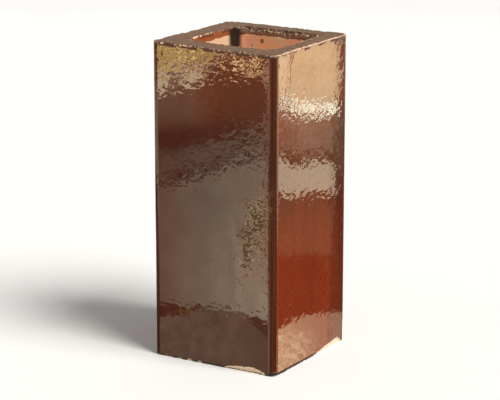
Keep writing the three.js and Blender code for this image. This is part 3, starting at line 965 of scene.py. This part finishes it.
def paint_right(nodes, spot, across, up):
    """What the right face mirrors: a tan wall with a bright cream foot, a dim bank, a pale slab,
    the dark below it, and the ground. Past a wavy upright edge at the right all but the ground
    is dim."""
    leaf = nodes.noise(20 * MM, 2, 0.5, spot)
    ragged = nodes.product(nodes.maths("SUBTRACT", leaf, 0.5), 40 * MM)

    # The ground, and the dark above it
    mottle = nodes.ramp(nodes.noise(8 * MM, 3, 0.65, spot), 0.42, 0.60)
    ground = nodes.blend(mottle, glow(2.1, 1.75, 1.0), glow(4.5, 3.8, 2.3))
    ground = nodes.fade(up, -0.212, -0.188, ground, glow(2.0, 1.65, 0.95))
    ground = nodes.fade(across, 0.055, 0.110, ground, glow(1.5, 1.22, 0.78))
    ground_top = nodes.course(across, [
        (0.041, -0.199), (0.050, -0.193), (0.062, -0.184), (0.072, -0.179), (0.094, -0.176),
        (0.116, -0.173), (0.136, -0.171),
    ])
    dim = nodes.fade(up, -0.095, -0.080, BLACK, glow(0.30, 0.28, 0.15))
    picture = nodes.blend(nodes.above(up, ground_top), ground, dim)

    # The slab
    slab_low = nodes.course(across, [
        (0.041, 0.011), (0.057, -0.002), (0.072, 0.001), (0.087, 0.007), (0.104, 0.005),
        (0.123, -0.002),
    ])
    slab_top = nodes.course(across, [
        (0.041, 0.054), (0.050, 0.046), (0.065, 0.039), (0.079, 0.043), (0.101, 0.049),
        (0.123, 0.046),
    ])
    over_foot = nodes.above(up, slab_low, wander=nodes.product(ragged, 0.2))
    over_top = nodes.above(up, slab_top, wander=nodes.product(ragged, 0.4))
    slab = nodes.product(over_foot, nodes.rest(over_top))
    picture = nodes.blend(slab, picture, glow(2.95, 2.65, 1.85))

    # The bank
    clouds = nodes.ramp(nodes.noise(24 * MM, 3, 0.55, spot), 0.35, 0.65)
    bank = nodes.blend(clouds, glow(0.78, 0.68, 0.42), glow(1.34, 1.24, 0.82))
    bank = nodes.fade(across, 0.055, 0.043, bank, glow(0.72, 0.58, 0.32))
    over = nodes.ramp(nodes.sum(up, nodes.product(ragged, 0.3)), 0.057, 0.062)
    picture = nodes.blend(over, picture, bank)

    # The wall and its cream foot
    blots = nodes.noise(8 * MM, 2, 0.5, spot)
    cream = nodes.fade(blots, 0.44, 0.47, glow(0.5, 0.4, 0.3), glow(4.2, 3.7, 2.4))
    cream = nodes.fade(blots, 0.505, 0.53, cream, glow(9.2, 9.8, 7.4))
    cream_low = nodes.course(across, [
        (0.041, 0.126), (0.057, 0.117), (0.072, 0.114), (0.123, 0.114),
    ])
    over = nodes.above(up, cream_low, wander=nodes.product(ragged, 0.25))
    picture = nodes.blend(over, picture, cream)
    tan = nodes.fade(up, 0.13, 0.19, glow(4.4, 3.7, 2.2), glow(5.0, 4.15, 2.25))
    tan = nodes.blend(nodes.product(clouds, 0.38), tan, glow(3.0, 2.4, 1.4))
    specks = nodes.ramp(nodes.noise(5 * MM, 2, 0.6, spot), 0.66, 0.70)
    tan = nodes.blend(nodes.product(specks, 0.6), tan, glow(1.0, 0.7, 0.4))
    tan = nodes.fade(across, 0.058, 0.042, tan, glow(6.0, 5.0, 3.0))
    cream_top = nodes.course(across, [
        (0.041, 0.156), (0.050, 0.142), (0.065, 0.134), (0.123, 0.136),
    ])
    over = nodes.above(up, cream_top, wander=nodes.product(ragged, 0.3))
    picture = nodes.blend(over, picture, tan)

    # The dim strip past the edge, and a thin dark line before it
    side = nodes.sum(across, nodes.product(ragged, 0.05))
    edge = nodes.course(up, [
        (-0.30, 0.1225), (0.06, 0.1228), (0.11, 0.1255), (0.15, 0.1290), (0.25, 0.1305),
    ])
    wavy = nodes.product(nodes.noise(10 * MM, 2, 0.5, spot), -5 * MM)
    beyond = nodes.sum(side, nodes.product(edge, -1), wavy, 2.5 * MM)
    groove = nodes.product(nodes.bell(beyond, -4.5 * MM, 1.8 * MM), 0.8)
    picture = nodes.blend(groove, picture, glow(0.4, 0.3, 0.2))
    strip = nodes.fade(up, -0.02, 0.07, glow(0.06, 0.05, 0.03), glow(0.60, 0.38, 0.22))
    strip = nodes.fade(up, -0.168, -0.174, strip, ground)
    return nodes.fade(beyond, 0, 1 * MM, picture, strip)


def paint_edge(nodes, spot, across, up):
    """What the front face's right-hand end mirrors as it turns: a narrow pale strip, brighter
    at the top and where the yard begins."""
    strength = nodes.course(up, [
        (SCREEN_LOW, 1.5), (-0.19, 1.7), (-0.14, 2.8), (-0.05, 2.2), (0.03, 1.9), (0.12, 1.7),
        (0.16, 3.0), (SCREEN_HIGH, 3.0),
    ])
    share = nodes.ramp(strength, 0, BRIGHTEST, curve="LINEAR")
    return nodes.blend(share, BLACK, glow(1, 0.7, 0.45, BRIGHTEST))


screen("front_screen", "front", left=-0.150, right=0.0290, paint=paint_front)
screen("right_screen", "right", left=0.030, right=0.150, paint=paint_right)
screen("edge_screen", "front", left=0.0295, right=0.040, paint=paint_edge)


def upright_card(name, bearing, away, width, low, high):
    """A glowing upright card that only gloss sees, facing the front right corner of the pipe:
    pale above and below, redder and dimmer between. It stands `away` metres from that corner,
    `bearing` degrees round from +X towards +Y."""
    way = np.array([math.cos(math.radians(bearing)), math.sin(math.radians(bearing))])
    middle = np.array([HIGH[0], LOW[1]]) + way * away
    side = np.array([-way[1], way[0]]) * width / 2
    ends = [middle - side, middle + side]
    corners = [(*ends[0], low), (*ends[1], low), (*ends[1], high), (*ends[0], high)]
    nodes = Nodes(name)
    height = nodes.axis("Z")
    tint = nodes.fade(height, 0.02, 0.10, glow(1.3, 0.55, 0.22), glow(4.2, 2.5, 1.3))
    tint = nodes.fade(height, -0.085, -0.115, tint, glow(3.6, 2.4, 1.6))
    return only_in_gloss(show(name, four_sided(name, corners)), nodes.finish_glow(tint))


upright_card("corner_card", bearing=43, away=0.5, width=0.085, low=-0.25, high=0.50)


def towards(nodes, x, y):
    """How far a point lies in the level direction (x, y)."""
    return nodes.sum(nodes.product(nodes.axis("X"), x), nodes.product(nodes.axis("Y"), y))


def studio_wrap(radius, rings, meridians):
    """A sphere round the whole stage, x = r cos a cos b, y = r cos a sin b, z = r sin a, that only
    gloss sees: soft pale patches on a dim ground, so that every face has something to mirror.
    It is warmer and dimmer to the front right, nearly black low down on the left, and a dim
    brown low down at the back right."""
    high = np.radians(np.linspace(-90, 90, rings))[:, None]
    turn = np.radians(np.linspace(0, 360, meridians, endpoint=False))[None]
    x, y = np.cos(high) * np.cos(turn), np.cos(high) * np.sin(turn)
    points = np.stack([x, y, np.broadcast_to(np.sin(high), x.shape)], -1) * radius
    index = np.arange(rings * meridians).reshape(rings, meridians)
    right = np.roll(index, -1, 1)
    quads = np.stack([index[:-1], right[:-1], right[1:], index[1:]], -1).reshape(-1, 4)
    mesh = bpy.data.meshes.new("studio_wrap")
    mesh.from_pydata(points.reshape(-1, 3) + MIDDLE, [], quads.tolist())

    nodes = Nodes("studio_wrap")
    patches = nodes.ramp(nodes.noise(0.55, 2, 0.5, nodes.place((1, 1, 1.4))), 0.47, 0.56)
    tone = nodes.noise(0.30, 2, 0.5)
    pale = nodes.blend(tone, glow(1.2, 1.0, 0.75), glow(3.0, 2.7, 2.0))
    light = nodes.blend(patches, glow(0.12, 0.09, 0.07), pale)
    warm = nodes.blend(patches, glow(0.15, 0.09, 0.05), glow(0.6, 0.38, 0.24))
    share = nodes.ramp(towards(nodes, 1, -1), 0.25 * radius, 0.85 * radius)
    light = nodes.blend(share, light, warm)
    share = nodes.ramp(towards(nodes, -0.974, 0.225), 0.42 * radius, 0.52 * radius)
    low_down = nodes.ramp(nodes.axis("Z"), -0.38, -0.44)
    light = nodes.blend(nodes.product(share, low_down, 0.85), light, BLACK)
    share = nodes.ramp(towards(nodes, 0.80, 0.60), 0.75 * radius, 0.85 * radius)
    low_down = nodes.ramp(nodes.axis("Z"), -0.50, -0.58)
    light = nodes.blend(nodes.product(share, low_down), light, glow(0.12, 0.06, 0.03))
    return only_in_gloss(show("studio_wrap", mesh), nodes.finish_glow(light))


studio_wrap(radius=3.0, rings=25, meridians=48)

bpy.context.scene.view_settings.view_transform = "Standard"
